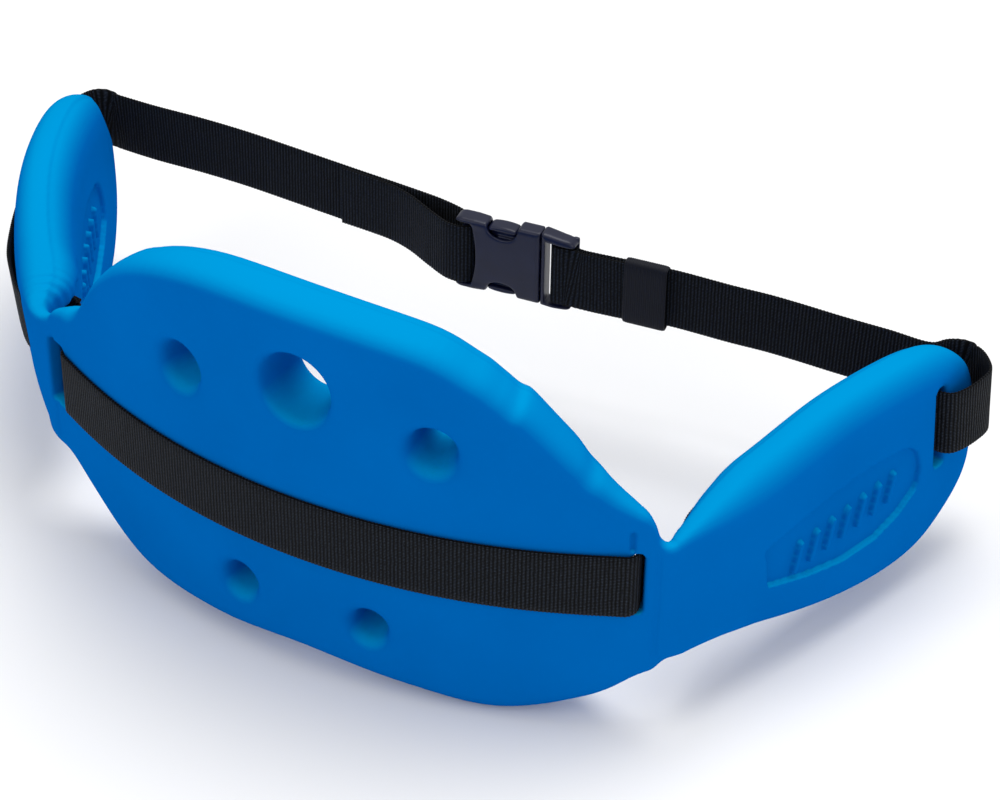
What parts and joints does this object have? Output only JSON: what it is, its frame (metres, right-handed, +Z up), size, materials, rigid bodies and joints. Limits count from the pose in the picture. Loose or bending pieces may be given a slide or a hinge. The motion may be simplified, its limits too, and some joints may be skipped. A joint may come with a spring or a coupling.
{
  "type": "aqua jogging flotation belt",
  "caption": "Waist-worn foam flotation belt: contoured front panel, two hinged side wings, threaded webbing strap and side-release buckle.",
  "frame": {"origin": "centre of the waist loop, at mid-height of the strap", "axes": "+Z up as worn, -Y towards the front of the centre panel, +X towards the right-hand wing as seen from the front"},
  "size_m": [0.5727, 0.2907, 0.2251],
  "materials": {
    "foam": "satin closed-cell foam, mid blue",
    "webbing": "near-black woven polypropylene webbing, 38 mm",
    "buckle_plastic": "moulded acetal, charcoal with a blue cast, semi-gloss",
    "thread": "black bonded thread",
    "elastic": "knitted black elastic"
  },
  "bodies": {
    "centre": {"centre_panel": "foam", "front_webbing": "webbing", "left_fold_web": "foam", "right_fold_web": "foam", "buckle_female": "buckle_plastic", "left_loop_webbing": "webbing", "bar_tack_stitching": "thread", "left_back_webbing": "webbing", "right_back_webbing": "webbing", "right_back_end_webbing": "webbing", "left_crossing_webbing": "webbing", "right_crossing_webbing": "webbing"},
    "left_wing": {"left_wing": "foam", "left_wing_webbing": "webbing", "left_tip_webbing": "webbing"},
    "right_wing": {"right_wing": "foam", "right_wing_webbing": "webbing", "right_tip_webbing": "webbing"},
    "male_half": {"buckle_male_frame": "buckle_plastic", "right_end_webbing": "webbing", "tail_webbing": "webbing"},
    "upper_prong": {"buckle_upper_prong": "buckle_plastic"},
    "lower_prong": {"buckle_lower_prong": "buckle_plastic"},
    "keeper": {"strap_keeper": "elastic"}
  },
  "joints": [
    {"name": "left_fold", "type": "hinge", "parent": "centre", "child": "left_wing", "pos_m": [-0.188, -0.096, 0], "axis": [0, 0, 1], "range_deg": [-25, 6], "deforming": ["left_fold_web", "left_crossing_webbing", "left_back_webbing"]},
    {"name": "right_fold", "type": "hinge", "parent": "centre", "child": "right_wing", "pos_m": [0.183, -0.0985, 0], "axis": [0, 0, 1], "range_deg": [-6, 25], "deforming": ["right_fold_web", "right_crossing_webbing", "right_back_end_webbing"]},
    {"name": "buckle_release", "type": "slide", "parent": "centre", "child": "male_half", "axis": [0.9936, 0.1132, 0], "range_m": [0, 0.034], "deforming": ["right_back_webbing", "buckle_upper_prong", "buckle_lower_prong"]},
    {"name": "upper_prong_squeeze", "type": "hinge", "parent": "male_half", "child": "upper_prong", "pos_m": [-0.00018, 0.1074, 0.0127], "axis": [-0.1132, 0.9936, 0], "range_deg": [-7, 0], "stiffness_Nm_per_rad": 0.05},
    {"name": "lower_prong_squeeze", "type": "hinge", "parent": "male_half", "child": "lower_prong", "pos_m": [-0.00018, 0.1074, -0.0127], "axis": [-0.1132, 0.9936, 0], "range_deg": [0, 7], "stiffness_Nm_per_rad": 0.05},
    {"name": "keeper_slide", "type": "slide", "parent": "male_half", "child": "keeper", "axis": [0.9936, 0.1132, 0], "range_m": [-0.012, 0.004]}
  ],
  "couplings": [
    {"joint": "lower_prong_squeeze", "follows": "upper_prong_squeeze", "ratio": -1}
  ]
}
